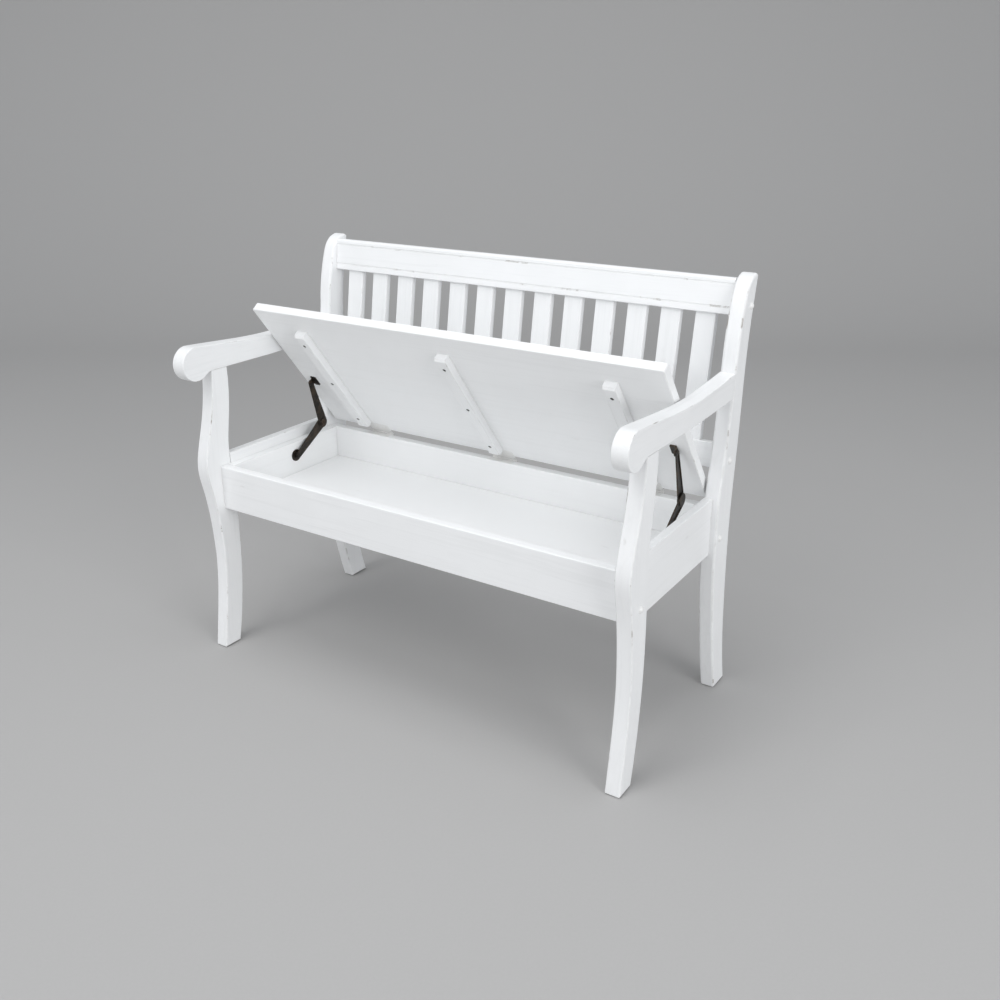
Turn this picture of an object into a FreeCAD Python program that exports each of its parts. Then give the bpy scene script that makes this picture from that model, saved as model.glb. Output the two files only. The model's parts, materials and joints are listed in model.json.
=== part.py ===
import FreeCAD, Part
import math
import os

from FreeCAD import Placement, Rotation, Vector

# Storage bench with a slatted back, scrolled arms and a lifting seat lid.
# Millimetres, +Z up, +X towards a sitter's left hand, seat front towards -Y.
# The origin is on the floor, in the middle of the overall box.
# Depths below are measured back from a plane just behind the tips of the front feet.

# Overall frame
OUTER_HALF = 533.5        # half the width over the legs
LEG_WIDTH = 32.3          # width of every leg, post and arm along X
INNER_HALF = OUTER_HALF - LEG_WIDTH
MID_DEPTH = 237.3         # depth that lies over the origin
LEG_EASE = 2.5            # rounding of the edges of the front legs
POST_EASE = 4.8           # rounding of the edges of the rear posts
ARM_EASE = 1.5            # rounding of the arms' edges
RAIL_EASE = 2.0           # rounding of board edges
ARM_UNDER = 663.5         # straight underside of the arms, on top of the front legs
GLIDE_HEIGHT = 2.5
GLIDE_RADIUS = 9.0

# Seat box
BOX_BOTTOM = 343.4
BOX_TOP = 444.0
FRONT_APRON = (36.7, 57.0)     # front and rear face depths
BACK_APRON = (402.0, 424.0)
BOX_SIDE_HALF = 482.0          # half the clear width inside the box
PANEL_HALF = 519.5             # outer face of the end panels
PANEL_TOP = 468.0
FLOOR_TOP = 367.0
FLOOR_THICK = 12.0
CLEAT_WIDTH = 16.0
EASE_BIG = 3.0                 # rounding of the aprons' outer top edges

# Lid, drawn closed and then turned open about its hinge axis
LID_HALF = 496.5
LID_LENGTH = 405.4
LID_THICK = 20.0
LID_UNDER = 444.4              # underside height of the closed lid
LID_REAR = 411.5               # rear edge depth of the closed lid
LID_CORNER = 5.0
LID_EASE = 2.2
LID_OPEN_DEG = 51.85
HINGE_AXIS = (427.5, 444.2)    # depth and height of the hinge pins
BATTEN_X = {"left": 379.5, "centre": -1.5, "right": -382.5}
BATTEN_WIDTH = 28.0
BATTEN_THICK = 18.0
BATTEN_SPAN = (20.0, 351.0)    # rear and front ends, measured forward from the lid's rear edge
BATTEN_BEVEL = 4.0
BATTEN_SCREWS = (52.0, 187.5, 321.0)
BATTEN_SCREW_HEAD = 4.0
BATTEN_SCREW_SINK = 1.0        # depth of the screw heads below the batten's face

# Butt hinges
HINGE_X = {"left": 367.0, "centre": 3.0, "right": -352.0}
HINGE_WIDTH = 62.0
LEAF_THICK = 1.6
LEAF_FRONT = 404.0             # front edge of the fixed leaf on the back apron
LID_LEAF_FRONT = 393.0         # front edge of the moving leaf on the closed lid
LEAF_SCREW_HEAD = 3.2
LEAF_SCREW_STEP = 0.34 * HINGE_WIDTH
FIXED_SCREW_DEPTH = 412.5
LID_SCREW_DEPTH = 402.0
KNUCKLE_RADIUS = 3.0
KNUCKLE_COUNT = 5
KNUCKLE_GAP = 0.3
PIN_RADIUS = 1.5
RUNNING = 0.05                 # radial clearance of every turning fit

# Lid stays: pivots as (depth, height) with the lid open
STAY_WALL = (254.6, 410.8)
STAY_ELBOW = (343.6, 472.2)
STAY_LID = (249.6, 435.3)      # pivot on the lid bracket with the lid closed
STAY_WEB = 1.2                 # sheet thickness of the pressed arms
STAY_FLANGE = 1.4              # width of the rim round each arm
LOWER_ARM_X = (472.7, 475.5)
UPPER_ARM_X = (469.6, 472.4)
BRACKET_X = (467.0, 469.2)
BRACKET_FLANGE_X = 454.5
BRACKET_Y = (236.0, 264.5)
BRACKET_EAR = 9.0              # half the width of the ear where it leaves the flange
BRACKET_TIP = 6.5              # radius of the ear's round end
BRACKET_THICK = 2.4
LOWER_ARM_ENDS = (7.4, 13.6)   # end radii of the lower arm, wall end first
UPPER_ARM_ENDS = (6.7, 13.2)   # end radii of the upper arm, lid end first
PLATE_RADIUS = 14.4
PLATE_THICK = 2.4
PLATE_BOSS_RADIUS = 7.0
HUB_RADIUS = 14.0
ELBOW_CAP_RADIUS = 10.0
STAY_PIN_RADIUS = 3.0
LID_PIN_RADIUS = 2.5
ELBOW_PIN_RADIUS = 2.4
ELBOW_SLACK = 6.4              # extra hole radius of the upper arm, at the pivot that stays open

# Back: drawn upright in its own plane and then leaned back
BACK_LEAN_DEG = 8.3
BACK_ORIGIN = (429.5, 572.0)   # slat front face at the top of the lower rail
SLAT_COUNT = 13
SLAT_PITCH = 74.4
SLAT_WIDTH = 43.0
SLAT_THICK = 14.0
SLAT_LENGTH = 253.5            # clear length between the two rails
TENON = 9.0
LOWER_RAIL_HEIGHT = 51.0
LOWER_RAIL_FACES = (-2.0, 19.0)
CREST_HEIGHT = 71.0
CREST_FACES = (-8.0, 20.5)
CREST_ROUND = 6.0
BEAD_HEIGHT = 14.0             # lower groove, above the crest's lower edge
TOP_BEAD_DROP = 12.0           # upper groove, below the crest's top
BEAD_RADIUS = 1.2

# Fasteners
BOLT_RADIUS = 3.0
BOLT_REACH = 92.0
BOLT_HEAD = (4.6, 2.6)         # radius and height
CAP_RADIUS = 7.5
CAP_HEIGHT = 5.5
BARREL_RADIUS = 5.0
BARREL_LENGTH = 15.0
BARREL_INSET = 42.0            # from the rail's end
BARREL_DEPTH = 3.5             # from the rail's rear face down to the nut
DOWEL_RADIUS = 5.0
DOWEL_LENGTH = 40.0
SCREW_RADIUS = 1.8
SCREW_HEAD = 3.6

X_AXIS = Vector(1, 0, 0)
Y_AXIS = Vector(0, 1, 0)
Z_AXIS = Vector(0, 0, 1)


def box(x, y, z):
    """Block between pairs of limits along the three axes."""
    return Part.makeBox(x[1] - x[0], y[1] - y[0], z[1] - z[0], Vector(x[0], y[0], z[0]))


def eased(shape, radius, pick):
    """Round the edges that pick() accepts."""
    edges = [edge for edge in shape.Edges if pick(edge)]
    return shape.makeFillet(radius, edges)


def along(axis):
    """Choose straight edges that run along an axis."""
    def pick(edge):
        start = edge.Vertexes[0].Point
        end = edge.Vertexes[-1].Point
        span = end.sub(start)
        return span.Length > 0 and abs(span.dot(axis)) > 0.999 * span.Length
    return pick


def mirrored(shape):
    """The matching shape on the other side of the bench."""
    return shape.mirror(Vector(0, 0, 0), X_AXIS)


def curve(points):
    """Smooth edge through (depth, height) points in the plane x = 0."""
    line = Part.BSplineCurve()
    line.interpolate([Vector(0, y, z) for y, z in points])
    return line.toShape()


def straight(start, end):
    return Part.LineSegment(Vector(0, *start), Vector(0, *end)).toShape()


def side_board(edges, x):
    """Board cut to a side outline, between two x limits."""
    face = Part.Face(Part.Wire(Part.__sortEdges__(edges)))
    return face.translated(Vector(x[0], 0, 0)).extrude(Vector(x[1] - x[0], 0, 0))


def outline_edge(x_faces):
    """Choose the edges of a side board that lie in its two outer faces."""
    def pick(edge):
        limits = edge.BoundBox
        flat = limits.XLength < 1e-4
        return flat and any(abs(limits.XMin - x) < 1e-4 for x in x_faces)
    return pick


def rod(radius, start, axis, length):
    return Part.makeCylinder(radius, length, start, axis)


def wood_screw(head_at, axis, length, head=SCREW_HEAD):
    """Countersunk screw: its head's flat top centre, and the way that it goes in."""
    cone = Part.makeCone(head, SCREW_RADIUS, head - SCREW_RADIUS, head_at, axis)
    shank = rod(SCREW_RADIUS, head_at, axis, length)
    return cone.fuse(shank).removeSplitter()


def cut_all(shape, tools):
    """Take every tool that is near the shape away from it."""
    near = [tool for tool in tools if tool.BoundBox.intersect(shape.BoundBox)]
    return shape.cut(near).removeSplitter() if near else shape


def front_leg():
    front = curve([(-3, GLIDE_HEIGHT), (12, 100), (22.3, 200), (19.3, 300), (6.8, 390), (-1.8, 446),
                   (5.5, 489), (23, 550), (33.2, 600), (38.5, ARM_UNDER)])
    rear = curve([(42.5, GLIDE_HEIGHT), (60.8, 100), (71.3, 200), (73.5, 320), (68.5, 420), (67.8, 495),
                  (77, 556), (83, 610), (83.5, ARM_UNDER)])
    foot = straight((-3, GLIDE_HEIGHT), (42.5, GLIDE_HEIGHT))
    top = straight((38.5, ARM_UNDER), (83.5, ARM_UNDER))
    return side_board([front, rear, foot, top], (INNER_HALF, OUTER_HALF))


def rear_post():
    front = curve([(455.5, GLIDE_HEIGHT), (430, 98), (410.5, 196), (395.5, 298), (391.3, 385), (391.3, 462),
                   (401, 524), (413.8, 604), (424.3, 720), (434.3, 803), (447.5, 854), (462, 885),
                   (487, 900.8)])
    rear = curve([(511, GLIDE_HEIGHT), (487, 104), (471.5, 240), (464.7, 350), (465.5, 455), (470, 530),
                  (474, 610), (479.5, 745), (487, 808), (494.5, 851), (504, 897.2)])
    foot = straight((455.5, GLIDE_HEIGHT), (511, GLIDE_HEIGHT))
    crown = curve([(487, 900.8), (499.5, 901.2), (504, 897.2)])
    return side_board([front, rear, foot, crown], (INNER_HALF, OUTER_HALF))


SCROLL_CENTRE = (0.4, 685.0)
SCROLL_RADIUS = 36.8
SCROLL_BREAK_DEG = -62.0       # where the underside leaves the scroll


def arm():
    y0, z0 = SCROLL_CENTRE
    leave = math.radians(SCROLL_BREAK_DEG)
    bottom = (y0 + SCROLL_RADIUS * math.cos(leave), z0 + SCROLL_RADIUS * math.sin(leave))
    top = (y0, z0 + SCROLL_RADIUS)
    scroll = Part.Arc(Vector(0, *bottom), Vector(0, y0 - SCROLL_RADIUS, z0), Vector(0, *top)).toShape()
    hand_rest = curve([top, (60, 717.6), (140, 711.6), (240, 708), (340, 713.2), (450, 722)])
    throat = curve([bottom, (27.5, 659), (38.5, ARM_UNDER)])
    under = straight((38.5, ARM_UNDER), (215, ARM_UNDER))
    rise = curve([(215, ARM_UNDER), (330, 666.5), (450, 672)])
    end = straight((450, 672), (450, 722))
    return side_board([scroll, hand_rest, throat, under, rise, end], (INNER_HALF, OUTER_HALF))


def leaned(shape):
    """Move a shape from the back's own plane to its place on the bench."""
    place = Placement(Vector(0, *BACK_ORIGIN), Rotation(X_AXIS, -BACK_LEAN_DEG))
    return shape.copy().transformed(place.toMatrix())


def back_slat(x):
    slat = box((x - SLAT_WIDTH / 2, x + SLAT_WIDTH / 2), (0, SLAT_THICK), (-TENON, SLAT_LENGTH + TENON))
    return leaned(eased(slat, RAIL_EASE, along(Z_AXIS)))


def lower_back_rail():
    rail = box((-INNER_HALF, INNER_HALF), LOWER_RAIL_FACES, (-LOWER_RAIL_HEIGHT, 0))
    return leaned(eased(rail, RAIL_EASE, along(X_AXIS)))


def crest_rail():
    bottom = SLAT_LENGTH
    top = SLAT_LENGTH + CREST_HEIGHT
    rail = box((-INNER_HALF, INNER_HALF), CREST_FACES, (bottom, top))

    def front_top(edge):
        middle = edge.CenterOfMass
        return along(X_AXIS)(edge) and middle.y < 0 and middle.z > bottom + 1

    rail = eased(rail, CREST_ROUND, front_top)
    low = [edge for edge in rail.Edges if along(X_AXIS)(edge)
           and (edge.CenterOfMass.z < bottom + 1 or edge.CenterOfMass.y > CREST_FACES[1] - 0.1)]
    rail = rail.makeFillet(RAIL_EASE, low)
    beads = [rod(BEAD_RADIUS, Vector(-INNER_HALF, CREST_FACES[0], height), X_AXIS, 2 * INNER_HALF)
             for height in (bottom + BEAD_HEIGHT, top - TOP_BEAD_DROP)]
    return leaned(rail.cut(beads))


def apron(depths, outer):
    """Long side of the seat box; outer is the depth of its face that shows from outside."""
    board = box((-INNER_HALF, INNER_HALF), depths, (BOX_BOTTOM, BOX_TOP))

    def outer_top(edge):
        middle = edge.CenterOfMass
        return along(X_AXIS)(edge) and abs(middle.y - outer) < 0.1 and middle.z > BOX_TOP - 1

    board = eased(board, EASE_BIG, outer_top)
    rest = [edge for edge in board.Edges if along(X_AXIS)(edge)
            and (edge.CenterOfMass.z < BOX_BOTTOM + 1 or abs(edge.CenterOfMass.y - outer) > 5)]
    return board.makeFillet(RAIL_EASE, rest)


def side_panel(leg, post):
    """End panel, scribed to the curved leg and post that it fits between."""
    board = box((INNER_HALF, PANEL_HALF), (60, 430), (BOX_BOTTOM, PANEL_TOP))
    board = eased(board, RAIL_EASE, along(Y_AXIS))
    return board.cut([leg, post]).removeSplitter()


def box_side():
    board = box((BOX_SIDE_HALF, INNER_HALF), (FRONT_APRON[1], BACK_APRON[0]), (BOX_BOTTOM, BOX_TOP))

    def inner_top(edge):
        middle = edge.CenterOfMass
        return along(Y_AXIS)(edge) and middle.x < BOX_SIDE_HALF + 1 and middle.z > BOX_TOP - 1

    return eased(board, RAIL_EASE, inner_top)


def bottom_panel():
    inside = (FRONT_APRON[1], BACK_APRON[0])
    return box((-BOX_SIDE_HALF, BOX_SIDE_HALF), inside, (FLOOR_TOP - FLOOR_THICK, FLOOR_TOP))


def bottom_cleats():
    height = (BOX_BOTTOM, FLOOR_TOP - FLOOR_THICK)
    front = (FRONT_APRON[1], FRONT_APRON[1] + CLEAT_WIDTH)
    back = (BACK_APRON[0] - CLEAT_WIDTH, BACK_APRON[0])
    return [box((-BOX_SIDE_HALF, BOX_SIDE_HALF), depths, height) for depths in (front, back)]


def opened(shape):
    """Turn a shape of the closed lid about the hinge axis, to where the lid stands open."""
    return shape.copy().rotate(Vector(0, *HINGE_AXIS), X_AXIS, -LID_OPEN_DEG)


def lid_board():
    depths = (LID_REAR - LID_LENGTH, LID_REAR)
    board = box((-LID_HALF, LID_HALF), depths, (LID_UNDER, LID_UNDER + LID_THICK))
    board = eased(board, LID_CORNER, along(Z_AXIS))
    return eased(board, LID_EASE, lambda edge: not along(Z_AXIS)(edge))


def lid_batten(x):
    ends = (LID_REAR - BATTEN_SPAN[1], LID_REAR - BATTEN_SPAN[0])
    bottom = LID_UNDER - BATTEN_THICK
    bar = box((x - BATTEN_WIDTH / 2, x + BATTEN_WIDTH / 2), ends, (bottom, LID_UNDER))
    ends_low = [edge for edge in bar.Edges if along(X_AXIS)(edge) and edge.CenterOfMass.z < bottom + 1]
    bar = bar.makeChamfer(BATTEN_BEVEL, ends_low)
    sides_low = [edge for edge in bar.Edges if abs(abs(edge.CenterOfMass.x - x) - BATTEN_WIDTH / 2) < 0.01
                 and edge.CenterOfMass.z < bottom + BATTEN_BEVEL]
    return bar.makeFillet(RAIL_EASE, sides_low)


def batten_screws():
    """Three screws up through each batten, sunk a little below its face."""
    screws = []
    for x in BATTEN_X.values():
        for forward in BATTEN_SCREWS:
            head = Vector(x, LID_REAR - forward, LID_UNDER - BATTEN_THICK + BATTEN_SCREW_SINK)
            screws.append(wood_screw(head, Z_AXIS, 28.0, BATTEN_SCREW_HEAD))
    return screws


def batten_screw_wells():
    """Open mouths over the sunk screw heads."""
    wells = []
    for x in BATTEN_X.values():
        for forward in BATTEN_SCREWS:
            mouth = Vector(x, LID_REAR - forward, LID_UNDER - BATTEN_THICK - BATTEN_SCREW_SINK)
            wells.append(rod(BATTEN_SCREW_HEAD, mouth, Z_AXIS, 2 * BATTEN_SCREW_SINK))
    return wells


def knuckles(x, leaf):
    """Barrel sections of one leaf: the fixed leaf has the odd ones and the moving leaf the even ones."""
    y, z = HINGE_AXIS
    pitch = HINGE_WIDTH / KNUCKLE_COUNT
    bore = PIN_RADIUS + (RUNNING if leaf == "moving" else 0.0)
    rings = []
    for number in range(KNUCKLE_COUNT):
        if (number % 2 == 0) == (leaf == "fixed"):
            start = x - HINGE_WIDTH / 2 + number * pitch + KNUCKLE_GAP / 2
            ring = rod(KNUCKLE_RADIUS, Vector(start, y, z), X_AXIS, pitch - KNUCKLE_GAP)
            rings.append(ring.cut(rod(bore, Vector(start - 1, y, z), X_AXIS, pitch + 2)))
    return rings


def hinge_leaf(x, leaf):
    """One hinge leaf with its share of the knuckles, drawn with the hinge folded shut."""
    if leaf == "fixed":
        front = LEAF_FRONT
        height = (BOX_TOP - LEAF_THICK, BOX_TOP)
    else:
        front = LID_LEAF_FRONT
        height = (LID_UNDER, LID_UNDER + LEAF_THICK)
    y, z = HINGE_AXIS
    half = HINGE_WIDTH / 2
    plate = box((x - half, x + half), (front, y), height)
    plate = eased(plate, 3.0, lambda edge: along(Z_AXIS)(edge) and edge.CenterOfMass.y < front + 1)
    pitch = HINGE_WIDTH / KNUCKLE_COUNT
    slots = []
    for number in range(KNUCKLE_COUNT):
        start = x - half + number * pitch - KNUCKLE_GAP / 2
        width = pitch + KNUCKLE_GAP
        if (number % 2 == 0) != (leaf == "fixed"):
            slots.append(box((start, start + width), (y - KNUCKLE_RADIUS - 0.4, y + 5), (z - 5, z + 5)))
    core = rod(PIN_RADIUS + RUNNING, Vector(x - half - 1, y, z), X_AXIS, HINGE_WIDTH + 2)
    plate = plate.cut(slots + [core])
    plate = max(plate.Solids, key=lambda solid: solid.Volume)
    joined = plate.fuse(knuckles(x, leaf)).removeSplitter()
    return joined.Solids[0]


def hinge_screws(leaf):
    """Three countersunk screws in every leaf of one kind."""
    screws = []
    for x in HINGE_X.values():
        for side in (-1, 0, 1):
            spot = x + side * LEAF_SCREW_STEP
            if leaf == "fixed":
                head = Vector(spot, FIXED_SCREW_DEPTH, BOX_TOP)
                screws.append(wood_screw(head, -Z_AXIS, 18.0, LEAF_SCREW_HEAD))
            else:
                head = Vector(spot, LID_SCREW_DEPTH, LID_UNDER)
                screws.append(wood_screw(head, Z_AXIS, 12.0, LEAF_SCREW_HEAD))
    return screws


def hinge_pins():
    y, z = HINGE_AXIS
    half = HINGE_WIDTH / 2
    return [rod(PIN_RADIUS, Vector(x - half, y, z), X_AXIS, HINGE_WIDTH) for x in HINGE_X.values()]


def turned_point(point):
    """Open place of a (depth, height) point on the closed lid."""
    y = point[0] - HINGE_AXIS[0]
    z = point[1] - HINGE_AXIS[1]
    angle = math.radians(LID_OPEN_DEG)
    turned_y = y * math.cos(angle) + z * math.sin(angle)
    turned_z = z * math.cos(angle) - y * math.sin(angle)
    return (HINGE_AXIS[0] + turned_y, HINGE_AXIS[1] + turned_z)


def strap(start, end, r_start, r_end, x):
    """Flat bar whose outline wraps two circles of different size."""
    run_y = end[0] - start[0]
    run_z = end[1] - start[1]
    length = math.hypot(run_y, run_z)
    heading = math.atan2(run_z, run_y)
    tilt = math.acos((r_start - r_end) / length)

    def on_circle(centre, radius, angle):
        return Vector(x[0], centre[0] + radius * math.cos(angle), centre[1] + radius * math.sin(angle))

    a1 = on_circle(start, r_start, heading + tilt)
    a2 = on_circle(start, r_start, heading + math.pi)
    a3 = on_circle(start, r_start, heading - tilt)
    b1 = on_circle(end, r_end, heading - tilt)
    b2 = on_circle(end, r_end, heading)
    b3 = on_circle(end, r_end, heading + tilt)
    edges = [Part.Arc(a1, a2, a3).toShape(), Part.LineSegment(a3, b1).toShape(),
             Part.Arc(b1, b2, b3).toShape(), Part.LineSegment(b3, a1).toShape()]
    return Part.Face(Part.Wire(edges)).extrude(Vector(x[1] - x[0], 0, 0))


def pressed_arm(start, end, radii, x):
    """Pressed steel arm: a web towards the middle of the bench and a low flange all round."""
    bar = strap(start, end, radii[0], radii[1], x)
    inside = [radius - STAY_FLANGE for radius in radii]
    hollow = strap(start, end, inside[0], inside[1], (x[0] + STAY_WEB, x[1] + 1))
    return eased(bar, 0.8, outline_edge((x[0],))).cut(hollow)


def hole(radius, centre, x):
    return rod(radius, Vector(x[0] - 1, *centre), X_AXIS, x[1] - x[0] + 2)


def stay_lower_arm():
    x = LOWER_ARM_X
    bar = pressed_arm(STAY_WALL, STAY_ELBOW, LOWER_ARM_ENDS, x)
    hub = rod(HUB_RADIUS, Vector(x[0], *STAY_ELBOW), X_AXIS, x[1] - x[0])
    hub = eased(hub, 0.8, outline_edge((x[0], x[1])))
    holes = [hole(STAY_PIN_RADIUS + RUNNING, STAY_WALL, x), hole(ELBOW_PIN_RADIUS, STAY_ELBOW, x)]
    return bar.fuse(hub).cut(holes).removeSplitter().Solids[0]


def stay_upper_arm():
    x = UPPER_ARM_X
    lid_pivot = turned_point(STAY_LID)
    bar = pressed_arm(lid_pivot, STAY_ELBOW, UPPER_ARM_ENDS, x)
    wide = hole(ELBOW_PIN_RADIUS + ELBOW_SLACK, STAY_ELBOW, x)
    return bar.cut([wide, hole(LID_PIN_RADIUS + RUNNING, lid_pivot, x)]).Solids[0]


def stay_elbow_pin():
    """Rivet with a broad round cap that covers the elbow."""
    y, z = STAY_ELBOW
    shank = rod(ELBOW_PIN_RADIUS, Vector(BRACKET_X[0], y, z), X_AXIS, LOWER_ARM_X[1] - BRACKET_X[0])
    cap = rod(ELBOW_CAP_RADIUS, Vector(BRACKET_X[0], y, z), X_AXIS, BRACKET_X[1] - BRACKET_X[0])
    cap = eased(cap, 1.0, outline_edge((BRACKET_X[0],)))
    boss = rod(5.0, Vector(BRACKET_X[0] - 1.2, y, z), X_AXIS, 1.2)
    boss = eased(boss, 0.8, outline_edge((BRACKET_X[0] - 1.2,)))
    return shank.fuse([cap, boss]).removeSplitter()


def stay_wall_plate():
    """Round plate on the box side, with a boss and the headed stud that the lower arm turns on."""
    y, z = STAY_WALL
    plate_face = BOX_SIDE_HALF - PLATE_THICK
    plate = rod(PLATE_RADIUS, Vector(plate_face, y, z), X_AXIS, PLATE_THICK)
    plate = eased(plate, 1.0, outline_edge((plate_face,)))
    boss_face = LOWER_ARM_X[1] + 0.3
    boss = rod(PLATE_BOSS_RADIUS, Vector(boss_face, y, z), X_AXIS, plate_face - boss_face + 1)
    head_face = LOWER_ARM_X[0] - 2.0
    stud = rod(STAY_PIN_RADIUS, Vector(head_face, y, z), X_AXIS, plate_face - head_face + 1)
    head = rod(5.5, Vector(head_face, y, z), X_AXIS, 1.8)
    head = eased(head, 0.8, outline_edge((head_face,)))
    return plate.fuse([boss, stud, head]).removeSplitter()


def stay_wall_screws():
    y, z = STAY_WALL
    plate_face = BOX_SIDE_HALF - PLATE_THICK
    return [wood_screw(Vector(plate_face, y, z + drop), X_AXIS, 14.0, 2.4) for drop in (-10.6, 10.6)]


def stay_lid_bracket():
    """Angle bracket: a flange under the closed lid and an ear that hangs from its outer edge."""
    flange_face = LID_UNDER - BRACKET_THICK
    flange = box((BRACKET_FLANGE_X, BRACKET_X[1]), BRACKET_Y, (flange_face, LID_UNDER))

    def free_corner(edge):
        return along(Z_AXIS)(edge) and edge.CenterOfMass.x < BRACKET_FLANGE_X + 1

    flange = eased(flange, 3.0, free_corner)
    y, z = STAY_LID
    thick = BRACKET_X[1] - BRACKET_X[0]
    corners = [Vector(BRACKET_X[0], y - BRACKET_EAR, flange_face),
               Vector(BRACKET_X[0], y + BRACKET_EAR, flange_face),
               Vector(BRACKET_X[0], y + BRACKET_TIP, z),
               Vector(BRACKET_X[0], y - BRACKET_TIP, z)]
    ear = Part.Face(Part.makePolygon(corners + corners[:1])).extrude(Vector(thick, 0, 0))
    tip = rod(BRACKET_TIP, Vector(BRACKET_X[0], y, z), X_AXIS, thick)
    bracket = flange.fuse([ear, tip]).cut(hole(LID_PIN_RADIUS, STAY_LID, BRACKET_X)).removeSplitter()
    return bracket.Solids[0]


def stay_bracket_pin():
    y, z = STAY_LID
    inner = BRACKET_X[0] - 1.4
    web_face = UPPER_ARM_X[0] + STAY_WEB + 0.2
    shank = rod(LID_PIN_RADIUS, Vector(inner, y, z), X_AXIS, web_face + 1.4 - inner)
    heads = [rod(4.4, Vector(inner, y, z), X_AXIS, 1.4), rod(4.2, Vector(web_face, y, z), X_AXIS, 1.4)]
    return shank.fuse(heads).removeSplitter()


def stay_bracket_screws():
    x = (BRACKET_FLANGE_X + BRACKET_X[0]) / 2
    face = LID_UNDER - BRACKET_THICK
    depths = (BRACKET_Y[0] + 7, BRACKET_Y[1] - 7)
    return [wood_screw(Vector(x, y, face), Z_AXIS, 14.0, LEAF_SCREW_HEAD) for y in depths]


# Frame bolts as (depth, height, axis of the barrel nut, face that the nut's hole opens in)
LEAN = math.radians(BACK_LEAN_DEG)
BACK_NORMAL = Vector(0, math.cos(LEAN), -math.sin(LEAN))


def back_point(across, up):
    """Place on the bench of a point in the back's own plane."""
    y = BACK_ORIGIN[0] + across * math.cos(LEAN) + up * math.sin(LEAN)
    z = BACK_ORIGIN[1] - across * math.sin(LEAN) + up * math.cos(LEAN)
    return Vector(0, y, z)


BOLT_TO_REAR = {"front_apron": 13.15, "back_apron": 14.0, "lower_back_rail": 13.5, "crest_rail": 14.0}
RAIL_REAR = {"front_apron": FRONT_APRON[1], "back_apron": BACK_APRON[1],
             "lower_back_rail": LOWER_RAIL_FACES[1], "crest_rail": CREST_FACES[1]}
BOLT_ACROSS = {name: RAIL_REAR[name] - BOLT_TO_REAR[name] for name in RAIL_REAR}
BOLTS = {
    "front_apron": (Vector(0, BOLT_ACROSS["front_apron"], 377.0), Y_AXIS),
    "back_apron": (Vector(0, BOLT_ACROSS["back_apron"], 379.0), Y_AXIS),
    "lower_back_rail": (back_point(BOLT_ACROSS["lower_back_rail"], -31.0), BACK_NORMAL),
    "crest_rail": (back_point(BOLT_ACROSS["crest_rail"], SLAT_LENGTH + 21.0), BACK_NORMAL),
}


def frame_bolt(centre):
    start = centre + X_AXIS * OUTER_HALF
    shank = rod(BOLT_RADIUS, start, -X_AXIS, BOLT_REACH)
    head = rod(BOLT_HEAD[0], start, X_AXIS, BOLT_HEAD[1])
    head = eased(head, 0.8, outline_edge((OUTER_HALF + BOLT_HEAD[1],)))
    socket_face = start + X_AXIS * (BOLT_HEAD[1] - 2.0)
    corners = [socket_face + Vector(0, 2.3 * math.cos(k * math.pi / 3), 2.3 * math.sin(k * math.pi / 3))
               for k in range(6)]
    socket = Part.Face(Part.makePolygon(corners + corners[:1])).extrude(Vector(3, 0, 0))
    return shank.fuse(head).cut(socket).removeSplitter()


def bolt_cap(centre):
    """Domed cover over a bolt head."""
    base = OUTER_HALF
    swell = (CAP_RADIUS ** 2 + CAP_HEIGHT ** 2) / (2 * CAP_HEIGHT)
    ball = Part.makeSphere(swell, centre + X_AXIS * (base + CAP_HEIGHT - swell))
    dome = ball.common(rod(CAP_RADIUS, centre + X_AXIS * base, X_AXIS, CAP_HEIGHT))
    hollow = rod(BOLT_HEAD[0], centre + X_AXIS * (base - 1), X_AXIS, BOLT_HEAD[1] + 1)
    return dome.cut(hollow).removeSplitter()


def barrel_start(name):
    """Blind end of the cross hole in one rail."""
    centre, axis = BOLTS[name]
    forward = BOLT_TO_REAR[name] - BARREL_DEPTH - BARREL_LENGTH
    return centre + X_AXIS * (INNER_HALF - BARREL_INSET) + axis * forward


def barrel_nut(name):
    """Cross dowel that the bolt screws into; its hole opens in the rear face of the rail."""
    axis = BOLTS[name][1]
    spot = barrel_start(name)
    nut = rod(BARREL_RADIUS, spot, axis, BARREL_LENGTH)
    groove = box((-BARREL_RADIUS, BARREL_RADIUS), (-0.6, 0.6), (0, 2.0))
    place = Placement(spot + axis * (BARREL_LENGTH - 1.2), Rotation(Z_AXIS, axis))
    return nut.cut(groove.transformed(place.toMatrix()))


def barrel_well(name):
    return rod(BARREL_RADIUS, barrel_start(name), BOLTS[name][1], BARREL_LENGTH + BARREL_DEPTH + 2)


def joint_dowels():
    """Hidden dowels: leg to arm, arm to post, and end panel to leg and post."""
    x = (INNER_HALF + OUTER_HALF) / 2
    panel_x = (INNER_HALF + PANEL_HALF) / 2
    dowels = [rod(DOWEL_RADIUS, Vector(x, 63, ARM_UNDER - DOWEL_LENGTH / 2), Z_AXIS, DOWEL_LENGTH),
              rod(DOWEL_RADIUS, Vector(x, 407, 694), Y_AXIS, DOWEL_LENGTH)]
    for height in (395, 440):
        dowels.append(rod(4.0, Vector(panel_x, 56, height), Y_AXIS, 30))
        dowels.append(rod(4.0, Vector(panel_x, 376, height), Y_AXIS, 30))
    return dowels


def foot_glides():
    x = (INNER_HALF + OUTER_HALF) / 2
    glides = []
    for depth in (19.7, 483.2):
        disc = rod(GLIDE_RADIUS, Vector(x, depth, 0), Z_AXIS, GLIDE_HEIGHT)
        glides.append(disc.makeChamfer(0.6, [edge for edge in disc.Edges if edge.CenterOfMass.z < 0.1]))
    return glides


def both_sides(solids):
    """A list of solids and their mirror images."""
    return solids + [mirrored(solid) for solid in solids]


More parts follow.
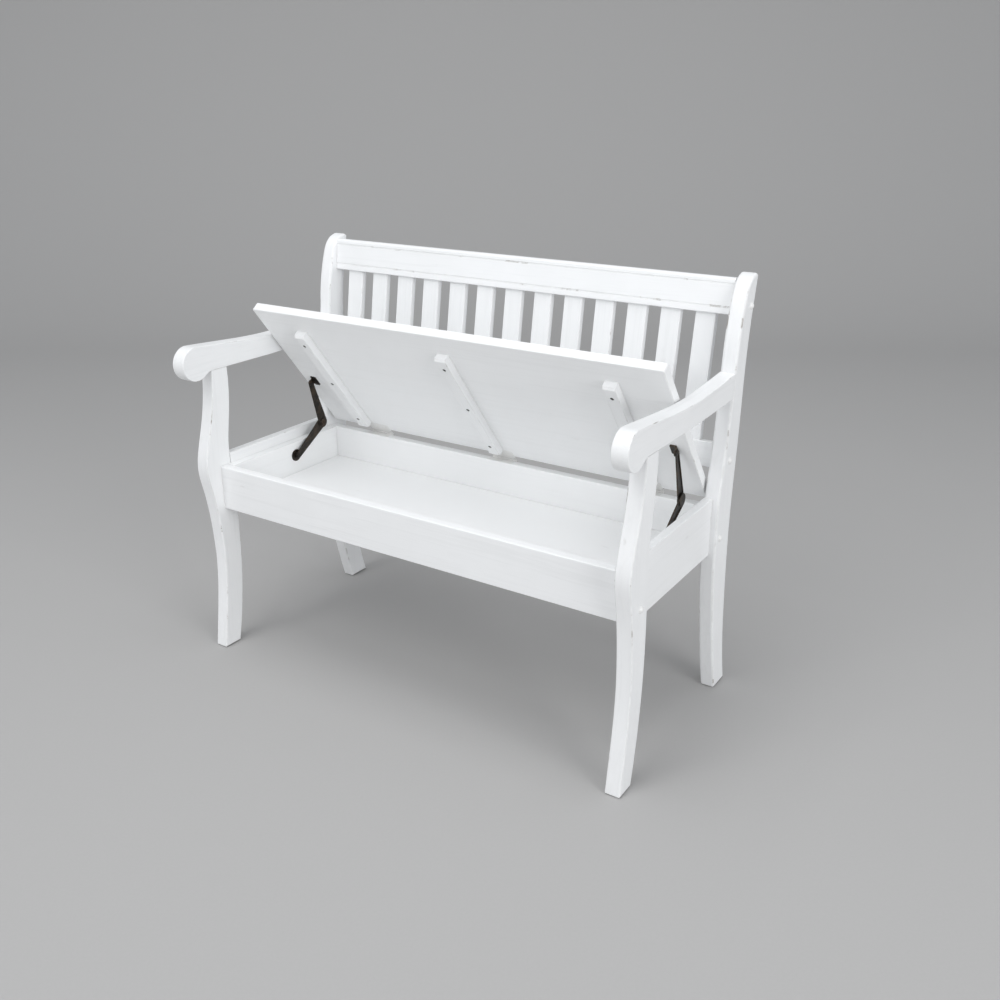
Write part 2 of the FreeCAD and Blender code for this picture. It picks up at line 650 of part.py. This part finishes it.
def write(node, solids):
    """Write one node's STEP file, moved so that the origin is under the bench's middle."""
    if not isinstance(solids, list):
        solids = [solids]
    solids = [solid.translated(Vector(0, -MID_DEPTH, 0)) for solid in solids]
    shape = solids[0] if len(solids) == 1 else Part.makeCompound(solids)
    if not shape.isValid():
        raise ValueError(node + " is not a valid shape")
    shape.exportStep("parts/" + node + ".step")


def main():
    os.makedirs("parts", exist_ok=True)

    bolts = both_sides([frame_bolt(centre) for centre, axis in BOLTS.values()])
    nuts = both_sides([barrel_nut(name).cut(bolts) for name in BOLTS])
    wells = both_sides([barrel_well(name) for name in BOLTS])
    dowels = both_sides(joint_dowels())
    write("frame_bolts", bolts)
    write("bolt_caps", both_sides([bolt_cap(centre) for centre, axis in BOLTS.values()]))
    write("barrel_nuts", nuts)
    write("joint_dowels", dowels)
    write("foot_glides", both_sides(foot_glides()))

    # End frames
    leg_blank = front_leg()
    post_blank = rear_post()
    sides = outline_edge((INNER_HALF, OUTER_HALF))

    def below_arm(edge):
        return sides(edge) and edge.CenterOfMass.z < ARM_UNDER - 1

    leg = cut_all(eased(leg_blank, LEG_EASE, below_arm), bolts + dowels)
    post = cut_all(eased(post_blank, POST_EASE, sides), bolts + dowels)
    arm_top = cut_all(eased(arm(), ARM_EASE, sides).cut(post_blank).Solids[0], dowels)
    panel = cut_all(side_panel(leg_blank, post_blank), dowels)
    stay_screws = stay_wall_screws()
    box_end = cut_all(box_side(), stay_screws)
    for node, shape in (("front_leg", leg), ("rear_post", post), ("arm", arm_top), ("side_panel", panel),
                        ("box_side", box_end)):
        write(node + "_left", shape)
        write(node + "_right", mirrored(shape))

    # Seat box
    fixed_screws = hinge_screws("fixed")
    fixed_leaves = {side: hinge_leaf(x, "fixed") for side, x in HINGE_X.items()}
    back_board = apron(BACK_APRON, BACK_APRON[1])
    write("front_apron", cut_all(apron(FRONT_APRON, FRONT_APRON[0]), bolts + wells))
    write("back_apron", cut_all(back_board, bolts + wells + fixed_screws + list(fixed_leaves.values())))
    write("bottom_panel", bottom_panel())
    write("bottom_cleats", bottom_cleats())

    # Back
    slats = [back_slat((number - (SLAT_COUNT - 1) / 2) * SLAT_PITCH) for number in range(SLAT_COUNT)]
    for number, slat in enumerate(slats, start=1):
        write("back_slat_%02d" % number, slat)
    write("lower_back_rail", cut_all(lower_back_rail(), slats + bolts + wells))
    write("crest_rail", cut_all(crest_rail(), slats + bolts + wells))

    # Lid
    lid_screws = batten_screws()
    leaf_screws = hinge_screws("moving")
    bracket_screws = both_sides(stay_bracket_screws())
    moving_leaves = {side: hinge_leaf(x, "moving") for side, x in HINGE_X.items()}
    lid = cut_all(lid_board(), lid_screws + leaf_screws + bracket_screws + list(moving_leaves.values()))
    write("lid_board", opened(lid))
    for side, x in BATTEN_X.items():
        batten = cut_all(lid_batten(x), lid_screws + batten_screw_wells())
        write("lid_batten_" + side, opened(batten))
    write("batten_screws", [opened(screw) for screw in lid_screws])

    # Hinges
    pins = hinge_pins()
    for side in HINGE_X:
        write("hinge_fixed_leaf_" + side, cut_all(fixed_leaves[side], fixed_screws + pins))
        write("hinge_lid_leaf_" + side, opened(cut_all(moving_leaves[side], leaf_screws)))
    write("hinge_pins", pins)

    # Lid stays
    plate = cut_all(stay_wall_plate(), stay_screws)
    bracket = cut_all(stay_lid_bracket(), bracket_screws)
    stay = (("stay_wall_plate", plate), ("stay_lower_arm", stay_lower_arm()),
            ("stay_elbow_pin", stay_elbow_pin()), ("stay_upper_arm", stay_upper_arm()),
            ("stay_lid_bracket", opened(bracket)), ("stay_bracket_pin", opened(stay_bracket_pin())))
    for node, shape in stay:
        write(node + "_left", shape)
        write(node + "_right", mirrored(shape))
    write("frame_hardware_screws", fixed_screws + both_sides(stay_screws))
    write("lid_hardware_screws", [opened(screw) for screw in leaf_screws + bracket_screws])


main()
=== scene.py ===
import json
import math
import random

import bpy
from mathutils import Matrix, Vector

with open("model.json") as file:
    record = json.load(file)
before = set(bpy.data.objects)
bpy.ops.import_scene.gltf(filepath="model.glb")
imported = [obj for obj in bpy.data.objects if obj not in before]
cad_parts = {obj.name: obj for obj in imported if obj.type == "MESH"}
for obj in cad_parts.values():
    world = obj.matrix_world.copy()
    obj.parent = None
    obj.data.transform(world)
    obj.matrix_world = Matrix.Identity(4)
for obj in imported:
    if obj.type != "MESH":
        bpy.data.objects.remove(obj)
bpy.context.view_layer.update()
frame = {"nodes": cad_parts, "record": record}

# ---------------------------------------------------------------- node helpers

NO_TURN = (0, 0, 0)
MASK_SAMPLES = 6                  # rays of each edge and crease mask
DUST_AND_SHADE_ENDS = 0.8                   # openness of a corner, from 0 to 1, above which no dust or painted shade lies


class Graph:
    """A small writer of shader node trees."""

    def __init__(self, name):
        self.material = bpy.data.materials.new(name)
        self.material.use_nodes = True
        self.tree = self.material.node_tree
        self.tree.nodes.clear()
        self.shader = self.add("ShaderNodeBsdfPrincipled")
        out = self.add("ShaderNodeOutputMaterial")
        self.link(self.shader.outputs[0], out.inputs["Surface"])

    def add(self, kind, **settings):
        node = self.tree.nodes.new(kind)
        for key, value in settings.items():
            setattr(node, key, value)
        return node

    def link(self, source, target):
        self.tree.links.new(source, target)

    def feed(self, socket, value):
        """Set a socket to a constant, or join it to another node's output."""
        if isinstance(value, bpy.types.NodeSocket):
            self.link(value, socket)
        else:
            socket.default_value = value

    def surface(self, name, value):
        """Feed one of the shader's own inputs."""
        self.feed(self.shader.inputs[name], value)

    def math(self, operation, a, b=0.0, clamp=False):
        node = self.add("ShaderNodeMath", operation=operation, use_clamp=clamp)
        self.feed(node.inputs[0], a)
        self.feed(node.inputs[1], b)
        return node.outputs[0]

    def times(self, a, b, clamp=False):
        return self.math("MULTIPLY", a, b, clamp)

    def plus(self, a, b, clamp=False):
        return self.math("ADD", a, b, clamp)

    def ramp(self, value, low, high, to_low=0.0, to_high=1.0):
        """Go smoothly from to_low to to_high while the value goes from low to high."""
        node = self.add("ShaderNodeMapRange", interpolation_type="SMOOTHSTEP")
        self.feed(node.inputs["Value"], value)
        node.inputs["From Min"].default_value = low
        node.inputs["From Max"].default_value = high
        node.inputs["To Min"].default_value = to_low
        node.inputs["To Max"].default_value = to_high
        return node.outputs[0]

    def mix(self, factor, a, b):
        node = self.add("ShaderNodeMix", data_type="RGBA")
        self.feed(node.inputs["Factor"], factor)
        for socket, value in ((node.inputs[6], a), (node.inputs[7], b)):
            self.feed(socket, value if isinstance(value, bpy.types.NodeSocket) else (*value, 1.0))
        return node.outputs[2]

    def place(self, shift=(0, 0, 0), turn=NO_TURN, scale=(1, 1, 1)):
        """Texture coordinates in metres, shifted, turned, and then stretched."""
        coords = self.add("ShaderNodeTexCoord")
        turned = self.add("ShaderNodeMapping")
        turned.inputs["Location"].default_value = shift
        turned.inputs["Rotation"].default_value = turn
        self.link(coords.outputs["Object"], turned.inputs["Vector"])
        stretched = self.add("ShaderNodeMapping")
        stretched.inputs["Scale"].default_value = scale
        self.link(turned.outputs[0], stretched.inputs["Vector"])
        return stretched.outputs[0]

    def noise(self, vector, scale, detail, roughness=0.5, distortion=0.0):
        """Noise that repeats about scale times in a metre of the given coordinates."""
        node = self.add("ShaderNodeTexNoise")
        self.link(vector, node.inputs["Vector"])
        node.inputs["Scale"].default_value = scale
        node.inputs["Detail"].default_value = detail
        node.inputs["Roughness"].default_value = roughness
        node.inputs["Distortion"].default_value = distortion
        return node.outputs["Fac"]

    def normal(self):
        return self.add("ShaderNodeNewGeometry").outputs["Normal"]

    def across(self, vector):
        """The x part of a vector."""
        split = self.add("ShaderNodeSeparateXYZ")
        self.link(vector, split.inputs[0])
        return split.outputs["X"]

    def edges(self, radius):
        """0 on flat faces, rising towards 1 where the surface turns within the radius."""
        bevel = self.add("ShaderNodeBevel", samples=MASK_SAMPLES)
        bevel.inputs["Radius"].default_value = radius
        dot = self.add("ShaderNodeVectorMath", operation="DOT_PRODUCT")
        self.link(bevel.outputs[0], dot.inputs[0])
        self.link(self.normal(), dot.inputs[1])
        return self.math("SUBTRACT", 1.0, dot.outputs["Value"], clamp=True)

    def side_arris(self):
        """0 where the surface faces along or straight across x, 1 halfway between the two."""
        sine = self.math("ABSOLUTE", self.across(self.normal()))
        cosine = self.math("SQRT", self.math("SUBTRACT", 1.0, self.times(sine, sine), clamp=True))
        return self.times(self.times(sine, cosine), 2.0, clamp=True)

    def corner_dust_and_shade(self, reach, most, starts=0.3):
        """The share of dust and painted shade, which is most deep in a corner and none out in the
        open.
        """
        # Darkness painted into corners and creases, for dust and for the shade that falls there
        shade = self.add("ShaderNodeAmbientOcclusion", samples=MASK_SAMPLES)
        shade.inputs["Distance"].default_value = reach
        return self.ramp(shade.outputs["AO"], starts, DUST_AND_SHADE_ENDS, most, 0.0)

    def relief(self, *parts):
        """The sum of several heights, each given with its weight."""
        total = None
        for height, weight in parts:
            part = self.times(height, weight)
            total = part if total is None else self.plus(total, part)
        return total

    def bump(self, height, strength, distance):
        node = self.add("ShaderNodeBump")
        node.inputs["Strength"].default_value = strength
        node.inputs["Distance"].default_value = distance
        self.link(height, node.inputs["Height"])
        self.link(node.outputs[0], self.shader.inputs["Normal"])


# ------------------------------------------------------------------- materials

PAINT = (0.880, 0.887, 0.892)
PAINT_THIN = (0.815, 0.822, 0.825)
# A lighter white, painted light for boards that the lamps leave too dim
PAINTED_LIGHT_WHITE = (0.940, 0.945, 0.945)
# Grey for dust and for painted shade in corners and creases
DUST_AND_SHADE = (0.66, 0.655, 0.64)
SCUFF = (0.60, 0.595, 0.58)
WORN = (0.33, 0.305, 0.275)       # wood and old primer where the paint is gone
HINGE_PAINT = (0.83, 0.828, 0.815)
HINGE_PAINT_THIN = (0.74, 0.735, 0.72)
HINGE_CHIP = (0.30, 0.29, 0.28)
# Grime and painted shade in the hinges' corners
HINGE_GRIME_AND_SHADE = (0.40, 0.39, 0.37)
BRONZE_DARK = (0.030, 0.026, 0.023)
BRONZE_LIGHT = (0.075, 0.055, 0.040)
# Brown of a painted highlight on the stays' raised edges
BRONZE_PAINTED_HIGHLIGHT = (0.20, 0.125, 0.075)
SCREW_DARK = (0.02, 0.02, 0.02)
SCREW_LIGHT = (0.06, 0.055, 0.05)
SCREW_PAINT = (0.80, 0.80, 0.79)
SCREW_PAINT_THIN = (0.62, 0.61, 0.59)
# Grime and painted shade in the screws' recesses
SCREW_GRIME_AND_SHADE = (0.20, 0.19, 0.18)
ZINC_DARK = (0.50, 0.51, 0.53)
ZINC_LIGHT = (0.66, 0.66, 0.66)
BEECH_DARK = (0.62, 0.45, 0.28)
BEECH_LIGHT = (0.70, 0.54, 0.36)
BEECH_FLECK = (0.42, 0.27, 0.15)
CAP_LIGHT = (0.87, 0.87, 0.86)
CAP_DARK = (0.82, 0.82, 0.81)
GLIDE_LIGHT = (0.06, 0.06, 0.06)
GLIDE_DARK = (0.035, 0.035, 0.035)
PAPER_DARK = (0.44, 0.435, 0.43)
PAPER_LIGHT = (0.46, 0.455, 0.45)

# Coordinates shrink along the grain, which draws the noise out that way
GRAIN_STRETCH = {"x": (0.03, 1, 1), "y": (1, 0.03, 1), "z": (1, 1, 0.03)}
SCUFF_STRETCH = {"x": (0.25, 1, 1), "y": (1, 0.25, 1), "z": (1, 1, 0.25)}
HINGE_STRETCH = (0.08, 1, 1)
DOWEL_STRETCH = (1, 0.08, 1)
SHIFT_MOST = 5                    # metres that each board's grain is moved, at most, on each axis
WOOD_EDGE = 0.0030                # metres that paint is worn in from an arris
METAL_EDGE = 0.0012
METAL_GRAIN = 400                 # grains in a metre of plain metal
METAL_CLOUDS = METAL_GRAIN / 6
METAL_SPREAD = 0.07               # how far roughness strays, either way
SCREW_METALLIC = 0.9
PLASTIC_SPREAD = 0.05
PLASTIC_DIRT_AND_SHADE = 0.55               # the brightness of dirt and painted shade in corners, beside the plastic's own
WIDE = (0.3, 0.7)                 # nearly all the values of a noise


def painted_wood(name, grain, seed, turn=NO_TURN, wear=1.0, painted_light_share=0.0):
    """Satin white paint brushed along close-grained wood, rubbed through at a few edges."""
    g = Graph(name)
    rng = random.Random(seed)
    shift = [rng.uniform(-SHIFT_MOST, SHIFT_MOST) for _ in range(3)]
    plain = g.place(shift, turn)
    along = g.place(shift, turn, GRAIN_STRETCH[grain])
    drawn_out = g.place(shift, turn, SCUFF_STRETCH[grain])

    figure = g.noise(along, scale=110, detail=4, roughness=0.6, distortion=0.4)
    pores = g.noise(along, scale=420, detail=3, roughness=0.65)
    brush = g.noise(along, scale=230, detail=2, roughness=0.7)
    flakes = g.noise(along, scale=150, detail=3, roughness=0.6)
    swell = g.noise(plain, scale=9, detail=2)
    patches = g.noise(plain, scale=28, detail=4, roughness=0.6)
    breaks = g.noise(plain, scale=15, detail=5, roughness=0.70)
    streaks = g.noise(drawn_out, scale=26, detail=4, roughness=0.7)

    # Paint lies thinner on the figure and over the pores, and some boards get a lighter white as
    # painted light
    thin = g.times(g.ramp(figure, low=0.48, high=0.70), 0.50)
    thin = g.plus(thin, g.ramp(pores, low=0.54, high=0.72, to_high=0.35), clamp=True)
    colour = g.mix(thin, PAINT, PAINT_THIN)
    colour = g.mix(g.ramp(swell, *WIDE, to_high=0.24), colour, PAINT_THIN)
    # Painted light: a lighter white on boards of the box and lid, brightening them as if more
    # light reached them
    colour = g.mix(painted_light_share, colour, PAINTED_LIGHT_WHITE)
    # Dust and painted shade darken the corners and creases
    colour = g.mix(g.corner_dust_and_shade(reach=0.010, most=0.32, starts=0.35), colour, DUST_AND_SHADE)

    # Faint grey scuffs, drawn out along the board
    scuffs = g.ramp(streaks, low=0.655, high=0.73)
    scuffs = g.times(scuffs, g.ramp(patches, low=0.42, high=0.62, to_high=0.30 * wear))
    colour = g.mix(scuffs, colour, SCUFF)

    # Paint worn thin on every arris, and rubbed through to the wood in places
    arris = g.ramp(g.side_arris(), low=0.35, high=0.95, to_high=0.12)
    arris = g.math("MAXIMUM", g.edges(WOOD_EDGE), arris)
    uneven = g.ramp(patches, low=0.38, high=0.62, to_low=0.05, to_high=0.34)
    colour = g.mix(g.times(g.ramp(arris, low=0.02, high=0.10), uneven), colour, SCUFF)
    broken = g.ramp(breaks, low=0.60 - 0.035 * wear, high=0.645)    # more wear, longer breaks
    flaked = g.ramp(flakes, low=0.38, high=0.60)
    rubbed = g.times(g.times(g.ramp(arris, low=0.025, high=0.10), broken), flaked)
    rubbed = g.times(rubbed, 0.80 * wear, clamp=True)
    colour = g.mix(rubbed, colour, WORN)
    g.surface("Base Color", colour)

    rough = g.ramp(patches, *WIDE, to_low=0.34, to_high=0.46)
    rough = g.plus(rough, g.times(g.plus(rubbed, scuffs), 0.3), clamp=True)
    g.surface("Roughness", rough)
    g.surface("Specular IOR Level", 0.40)

    height = g.relief((figure, 0.8), (pores, 0.5), (brush, 0.35), (swell, 1.2))
    height = g.math("SUBTRACT", height, g.times(rubbed, 0.8))
    g.bump(height, strength=0.55, distance=0.0005)
    return g.material


def painted_steel(name):
    """Hinge steel under the same brushed-on white paint."""
    g = Graph(name)
    plain = g.place()
    strokes = g.noise(g.place(scale=HINGE_STRETCH), scale=300, detail=3, roughness=0.6)
    lumps = g.noise(plain, scale=120, detail=3)
    breaks = g.noise(plain, scale=90, detail=4)
    thin = g.ramp(lumps, low=0.4, high=0.75, to_high=0.5)
    colour = g.mix(thin, HINGE_PAINT, HINGE_PAINT_THIN)
    edge = g.ramp(g.edges(METAL_EDGE), low=0.05, high=0.2)
    chipped = g.times(edge, g.ramp(breaks, low=0.56, high=0.64))
    colour = g.mix(chipped, colour, HINGE_CHIP)
    # Grime and painted shade darken the hinges' corners
    colour = g.mix(g.corner_dust_and_shade(reach=0.006, most=0.5), colour, HINGE_GRIME_AND_SHADE)
    g.surface("Base Color", colour)
    g.surface("Roughness", g.ramp(strokes, *WIDE, to_low=0.32, to_high=0.5))
    g.bump(g.plus(strokes, lumps), strength=0.35, distance=0.0003)
    return g.material


def bronzed_steel(name):
    """Dark bronze lacquer on pressed steel, with a brown highlight painted along its raised edges.
    """
    g = Graph(name)
    plain = g.place()
    clouds = g.noise(plain, scale=55, detail=4, roughness=0.6)
    specks = g.noise(plain, scale=900, detail=2)
    colour = g.mix(g.ramp(clouds, low=0.4, high=0.7), BRONZE_DARK, BRONZE_LIGHT)
    # A brown highlight is painted along the raised edges, where light would catch
    edge = g.ramp(g.edges(METAL_EDGE), low=0.04, high=0.25)
    painted_highlight = g.times(edge, g.ramp(clouds, low=0.40, high=0.62))
    g.surface("Base Color", g.mix(g.times(painted_highlight, 0.8), colour, BRONZE_PAINTED_HIGHLIGHT))
    g.surface("Metallic", 0.75)
    g.surface("Roughness", g.ramp(clouds, *WIDE, to_low=0.30, to_high=0.48))
    g.bump(g.plus(g.times(specks, 0.5), clouds), strength=0.25, distance=0.0002)
    return g.material


def plain_metal(name, dark, light, rough, metallic=1.0):
    """Bare or blackened metal with a fine grain and a cloudy tone."""
    g = Graph(name)
    plain = g.place()
    grains = g.noise(plain, METAL_GRAIN, detail=3, roughness=0.6)
    clouds = g.noise(plain, METAL_CLOUDS, detail=3)
    g.surface("Base Color", g.mix(g.ramp(clouds, low=0.35, high=0.7), dark, light))
    g.surface("Metallic", metallic)
    g.surface("Roughness", g.ramp(grains, *WIDE, to_low=rough - METAL_SPREAD,
                                  to_high=rough + METAL_SPREAD))
    g.bump(grains, strength=0.2, distance=0.0001)
    return g.material


def screw_steel(name, painted_half):
    """Black screw steel, brushed over with white paint within a distance of the bench's middle."""
    g = Graph(name)
    plain = g.place()
    grains = g.noise(plain, METAL_GRAIN, detail=3, roughness=0.6)
    clouds = g.noise(plain, scale=70, detail=3)
    steel = g.mix(g.ramp(clouds, low=0.35, high=0.7), SCREW_DARK, SCREW_LIGHT)
    thin = g.ramp(grains, low=0.45, high=0.8, to_high=0.6)
    paint = g.mix(thin, SCREW_PAINT, SCREW_PAINT_THIN)
    # Grime and painted shade darken the recesses of the painted screws
    paint = g.mix(g.corner_dust_and_shade(reach=0.002, most=0.7), paint, SCREW_GRIME_AND_SHADE)
    inside = g.math("LESS_THAN", g.math("ABSOLUTE", g.across(plain)), painted_half)
    g.surface("Base Color", g.mix(inside, steel, paint))
    painted = g.times(inside, SCREW_METALLIC)
    g.surface("Metallic", g.math("SUBTRACT", SCREW_METALLIC, painted))
    g.surface("Roughness", g.ramp(grains, *WIDE, to_low=0.36, to_high=0.50))
    g.bump(grains, strength=0.2, distance=0.0001)
    return g.material


def beech(name):
    """Bare turned beech, with fine flecks along the grain."""
    g = Graph(name)
    along = g.place(scale=DOWEL_STRETCH)
    flecks = g.noise(along, scale=900, detail=3, roughness=0.6)
    bands = g.noise(along, scale=160, detail=2, distortion=0.6)
    colour = g.mix(g.ramp(bands, *WIDE), BEECH_DARK, BEECH_LIGHT)
    colour = g.mix(g.ramp(flecks, low=0.60, high=0.72, to_high=0.6), colour, BEECH_FLECK)
    g.surface("Base Color", colour)
    g.surface("Roughness", g.ramp(bands, *WIDE, to_low=0.50, to_high=0.64))
    g.bump(flecks, strength=0.25, distance=0.0002)
    return g.material


def moulded(name, light, dark, rough):
    """Moulded plastic with a faint orange-peel skin, darkened in its corners by dirt and painted
    shade.
    """
    g = Graph(name)
    plain = g.place()
    peel = g.noise(plain, scale=700, detail=2)
    clouds = g.noise(plain, scale=60, detail=3)
    colour = g.mix(g.ramp(clouds, *WIDE), light, dark)
    dirt_and_shade = [channel * PLASTIC_DIRT_AND_SHADE for channel in dark]
    # Dirt and painted shade darken the corners
    g.surface("Base Color", g.mix(g.corner_dust_and_shade(reach=0.004, most=0.6), colour, dirt_and_shade))
    g.surface("Roughness", g.ramp(clouds, *WIDE, to_low=rough - PLASTIC_SPREAD,
                                  to_high=rough + PLASTIC_SPREAD))
    g.bump(peel, strength=0.15, distance=0.0001)
    return g.material


def paper(name):
    """Matt pale paper of the backdrop."""
    g = Graph(name)
    fibres = g.noise(g.place(), scale=180, detail=3)
    g.surface("Base Color", g.mix(fibres, PAPER_DARK, PAPER_LIGHT))
    g.surface("Roughness", 0.85)
    return g.material


# ----------------------------------------------------- a material for each node

# The axis that the grain runs along, beside x for the rest
GRAIN_BY_NAME = (("front_leg", "z"), ("rear_post", "z"), ("back_slat", "z"), ("arm", "y"),
                 ("side_panel", "y"), ("box_side", "y"), ("lid_batten", "y"),
                 ("joint_dowels", "y"))
# How far a leaning board's own axes are turned from the frame's
LID_OPEN = math.radians(51.85)
BACK_LEAN = math.radians(8.3)
TURN_BY_NAME = (("lid_batten", (LID_OPEN, 0, 0)), ("back_slat", (BACK_LEAN, 0, 0)))
# How much the edges of some boards have worn, beside 1.0 for the rest
WEAR_BY_NAME = (("crest_rail", 1.6), ("front_leg", 1.5), ("arm", 1.2), ("rear_post", 1.2),
                ("lid_board", 1.1), ("front_apron", 1.2), ("back_slat", 0.7),
                ("bottom_panel", 0.6), ("box_side", 0.6))
# Share of a lighter white painted on the boards of the box and the lid, painted light that stands
# in for light bouncing inside the box
PAINTED_LIGHT_BY_NAME = (("bottom_panel", 1.0), ("back_apron", 0.5), ("box_side", 0.4),
                 ("lid_board", 0.35))
# Screws that are painted with the hinges, which lie within this many metres of the
# middle, and bare black on the stays, which lie beyond it
PART_PAINTED = ("frame_hardware_screws", "lid_hardware_screws")
HINGES_HALF = 0.42

SHARED = {
    "painted_hinges": painted_steel("hinge_paint"),
    "bronze_stays": bronzed_steel("stay_bronze"),
    "dark_screws": plain_metal("screw_black", SCREW_DARK, SCREW_LIGHT, 0.42, SCREW_METALLIC),
    "dowel_wood": beech("dowel_beech"),
    "zinc_steel": plain_metal("bolt_zinc", ZINC_DARK, ZINC_LIGHT, 0.32),
    "white_caps": moulded("cap_white", CAP_LIGHT, CAP_DARK, 0.36),
    "glides": moulded("glide_nylon", GLIDE_LIGHT, GLIDE_DARK, 0.55),
}


def by_name(table, name, otherwise):
    """What a table says for the first of its starts that the name begins with."""
    return next((value for start, value in table if name.startswith(start)), otherwise)


slots = {row["node"]: row["material_slot"] for row in frame["record"]["subparts"]}
for seed, (name, node) in enumerate(sorted(frame["nodes"].items())):
    slot = slots[name]
    if name in PART_PAINTED:
        material = screw_steel("steel_" + name, HINGES_HALF)
    elif slot in SHARED:
        material = SHARED[slot]
    else:
        material = painted_wood("paint_" + name, by_name(GRAIN_BY_NAME, name, "x"), seed,
                                by_name(TURN_BY_NAME, name, NO_TURN),
                                by_name(WEAR_BY_NAME, name, 1.0),
                                by_name(PAINTED_LIGHT_BY_NAME, name, 0.0))
    node.data.materials.clear()
    node.data.materials.append(material)

# ------------------------------------------------------------- floor and light

CAMERA_AT = (1.2124, -1.6999, 1.2390)
CAMERA_TILT = math.radians(68.2)
CAMERA_TURN = math.radians(32.9)
CAMERA_LENS = 37.47               # mm, with the sensor's width
CAMERA_SENSOR = 36.0

FLOOR_FRONT = -6.0                # metres from the bench's middle, away from the camera
WALL_AT = 5.0
WALL_TOP = 7.0
SWEEP_RADIUS = 2.0
SWEEP_STEPS = 16
SWEEP_HALF = 9.0

BENCH_MIDDLE = (0, 0, 0.45)
LIGHTS = (                        # name, place, size in metres and power in watts
    ("key", (-0.6, -3.6, 4.4), 2.6, 62),
    ("low_front", (-1.8, -5.0, 1.5), 3.2, 36),
    ("fill", (5.4, -1.9, 1.9), 2.8, 126),
    ("overhead", (0.0, -0.5, 4.6), 2.6, 52),
)
SKY_COLOUR = (0.93, 0.96, 1.0, 1)
SKY_STRENGTH = 0.57


def backdrop():
    """A pale floor that sweeps up into a wall far behind the bench."""
    profile = [(FLOOR_FRONT, 0.0)]
    for step in range(SWEEP_STEPS + 1):
        angle = math.pi / 2 * step / SWEEP_STEPS
        profile.append((WALL_AT - SWEEP_RADIUS + SWEEP_RADIUS * math.sin(angle),
                        SWEEP_RADIUS - SWEEP_RADIUS * math.cos(angle)))
    profile.append((WALL_AT, WALL_TOP))
    verts = [(x, y, z) for y, z in profile for x in (-SWEEP_HALF, SWEEP_HALF)]
    faces = [(2 * i, 2 * i + 1, 2 * i + 3, 2 * i + 2) for i in range(len(profile) - 1)]
    mesh = bpy.data.meshes.new("backdrop")
    mesh.from_pydata(verts, [], faces)
    for face in mesh.polygons:
        face.use_smooth = True
    mesh.materials.append(paper("backdrop_paper"))
    sweep = bpy.data.objects.new("backdrop", mesh)
    sweep.rotation_euler = (0, 0, CAMERA_TURN)
    bpy.context.scene.collection.objects.link(sweep)


def area_light(name, at, size, power):
    """A square lamp that shines at the bench's middle."""
    data = bpy.data.lights.new(name, "AREA")
    data.shape = "SQUARE"
    data.size = size
    data.energy = power
    lamp = bpy.data.objects.new(name, data)
    lamp.location = at
    lamp.rotation_euler = (Vector(BENCH_MIDDLE) - Vector(at)).to_track_quat("-Z", "Y").to_euler()
    bpy.context.scene.collection.objects.link(lamp)


def studio():
    """Plain soft light, from four lamps and an even pale sky."""
    for lamp in LIGHTS:
        area_light(*lamp)
    world = bpy.data.worlds.new("studio")
    world.use_nodes = True
    sky = world.node_tree.nodes["Background"]
    sky.inputs["Color"].default_value = SKY_COLOUR
    sky.inputs["Strength"].default_value = SKY_STRENGTH
    bpy.context.scene.world = world
    bpy.context.scene.view_settings.view_transform = "Standard"


def camera():
    """The camera, at the photograph's viewing angle."""
    data = bpy.data.cameras.new("camera")
    data.lens = CAMERA_LENS
    data.sensor_width = CAMERA_SENSOR
    eye = bpy.data.objects.new("camera", data)
    eye.location = CAMERA_AT
    eye.rotation_euler = (CAMERA_TILT, 0, CAMERA_TURN)
    bpy.context.scene.collection.objects.link(eye)
    bpy.context.scene.camera = eye


backdrop()
studio()
camera()
